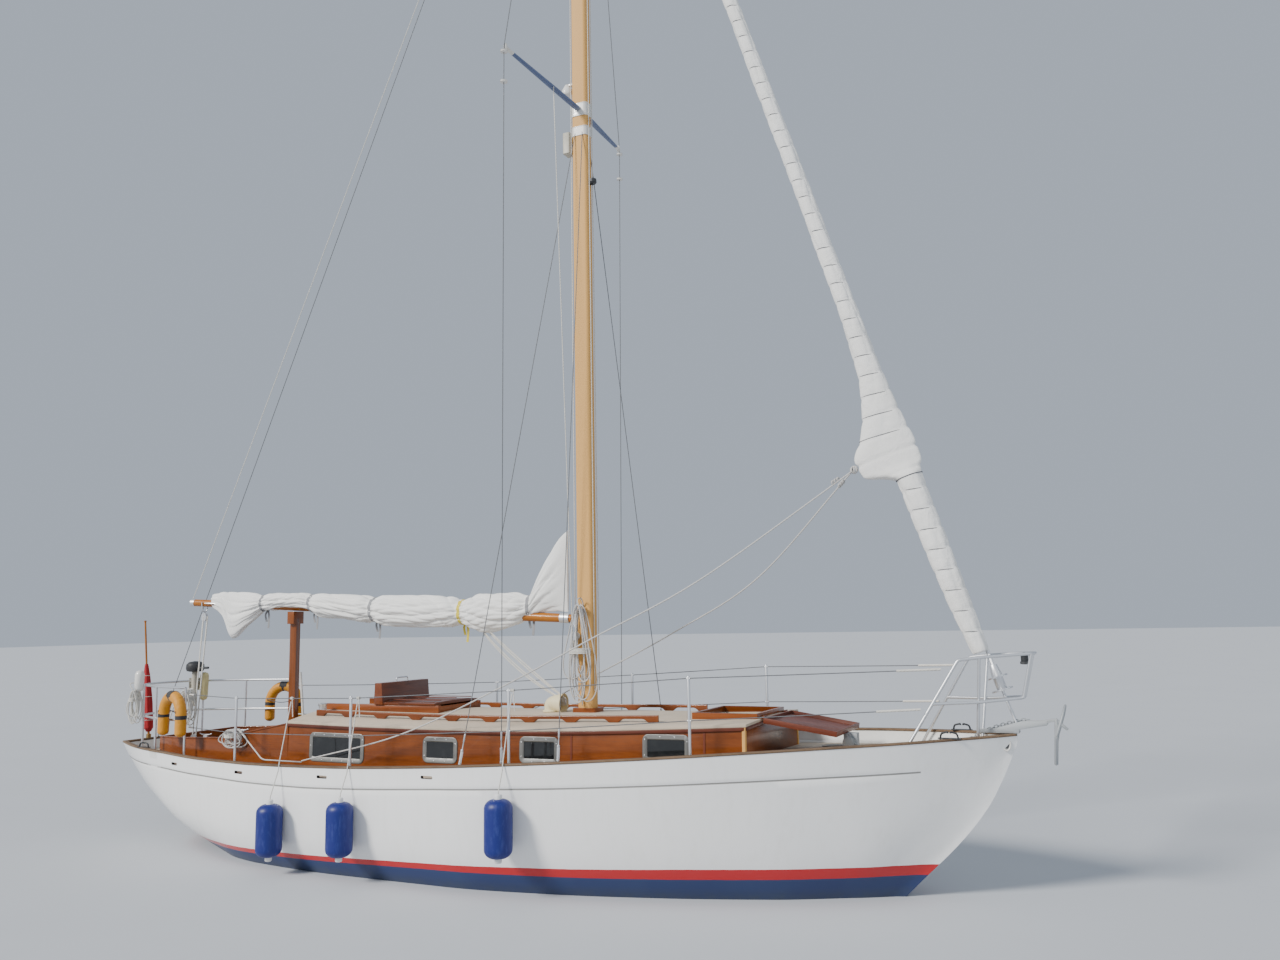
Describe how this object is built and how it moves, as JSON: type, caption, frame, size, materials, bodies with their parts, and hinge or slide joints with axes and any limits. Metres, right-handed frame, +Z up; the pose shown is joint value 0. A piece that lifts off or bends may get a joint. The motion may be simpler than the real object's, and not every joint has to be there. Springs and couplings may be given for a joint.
{
  "type": "sailing yacht",
  "caption": "Long-keeled wooden sailing yacht afloat with stowed sails, varnished coachroof, hinged rudder, boom, hatches and a free-turning propeller.",
  "frame": {"origin": "on the waterline plane, on the centreline, halfway along the waterline; the mount water", "axes": "+X towards the bow, +Y to port, +Z up"},
  "size_m": [10.0438, 2.8462, 15.03],
  "materials": {
    "antifouling": "matt navy antifouling paint",
    "topside_white": "gloss white paint with a red boot band over navy antifouling",
    "deck_paint": "matt beige deck paint",
    "weathered_teak": "weathered varnish on teak",
    "mahogany": "gloss varnish on mahogany",
    "spruce": "gloss varnish on spruce",
    "slate_blue": "slate blue paint",
    "sailcloth": "white woven sailcloth",
    "stainless": "polished stainless steel",
    "galvanised": "dull galvanised steel",
    "bronze": "dull bronze",
    "fender_blue": "royal blue vinyl",
    "buoy_yellow": "yellow coated cloth",
    "ensign_red": "red bunting rolled on a varnished staff",
    "vent_cream": "cream moulding",
    "window_glass": "dark glass in an aluminium frame",
    "engine_paint": "grey engine paint"
  },
  "bodies": {
    "hull": {"ballast_keel": "antifouling", "hull": "topside_white", "bulwark": "topside_white", "deck": "deck_paint", "cabin_top": "deck_paint", "rail_cap": "weathered_teak", "cockpit_seats": "weathered_teak", "cabin_trunk": "mahogany", "handrail_port": "mahogany", "handrail_stbd": "mahogany", "hatch_runners": "mahogany", "washboard": "mahogany", "fore_hatch_coaming": "mahogany", "cockpit_coaming": "mahogany", "boom_crutch": "mahogany", "mast": "spruce", "spreader_port": "slate_blue", "spreader_stbd": "slate_blue", "furled_genoa": "sailcloth", "furler": "stainless", "backstay": "stainless", "aft_lower_port": "stainless", "aft_lower_stbd": "stainless", "cap_shroud_port": "stainless", "cap_shroud_stbd": "stainless", "fwd_lower_port": "stainless", "fwd_lower_stbd": "stainless", "guardrail_port": "stainless", "guardrail_stbd": "stainless", "pulpit": "stainless", "pushpit": "stainless", "winch_cabin_port": "stainless", "winch_cabin_stbd": "stainless", "bow_roller": "galvanised", "anchor": "galvanised", "windlass": "galvanised", "fender_1": "fender_blue", "fender_2": "fender_blue", "fender_3": "fender_blue", "lifebuoy_port": "buoy_yellow", "lifebuoy_stbd": "buoy_yellow", "ensign_staff": "ensign_red", "cowl_vent": "vent_cream", "window_port_1": "window_glass", "window_port_2": "window_glass", "window_port_3": "window_glass", "window_port_4": "window_glass", "window_stbd_1": "window_glass", "window_stbd_2": "window_glass", "window_stbd_3": "window_glass", "window_stbd_4": "window_glass", "engine": "engine_paint"},
    "rudder": {"rudder": "antifouling", "tiller": "mahogany"},
    "propeller": {"propeller": "bronze"},
    "boom": {"boom": "mahogany", "stowed_mainsail": "sailcloth"},
    "companion_hatch": {"companion_hatch": "mahogany"},
    "fore_hatch_lid": {"fore_hatch_lid": "mahogany"}
  },
  "joints": [
    {"name": "rudder_turn", "type": "hinge", "parent": "hull", "child": "rudder", "pos_m": [-2.725, 0, -0.75], "axis": [-0.493, 0, 0.87], "range_deg": [-35, 35]},
    {"name": "propeller_spin", "type": "hinge", "parent": "hull", "child": "propeller", "pos_m": [-2.47, 0, -0.85], "axis": [0.9563, 0, 0.2923], "continuous": true},
    {"name": "boom_swing", "type": "hinge", "parent": "hull", "child": "boom", "pos_m": [0.668, 0, 2.275], "axis": [0, 0, 1], "range_deg": [-60.8, 54.4]},
    {"name": "companion_hatch_slide", "type": "slide", "parent": "hull", "child": "companion_hatch", "axis": [1, 0, 0], "range_m": [-0.64, 0]},
    {"name": "fore_hatch_lid_turn", "type": "hinge", "parent": "hull", "child": "fore_hatch_lid", "pos_m": [2.64, 0, 1.424], "axis": [0, 1, 0], "range_deg": [-189, 0]}
  ]
}
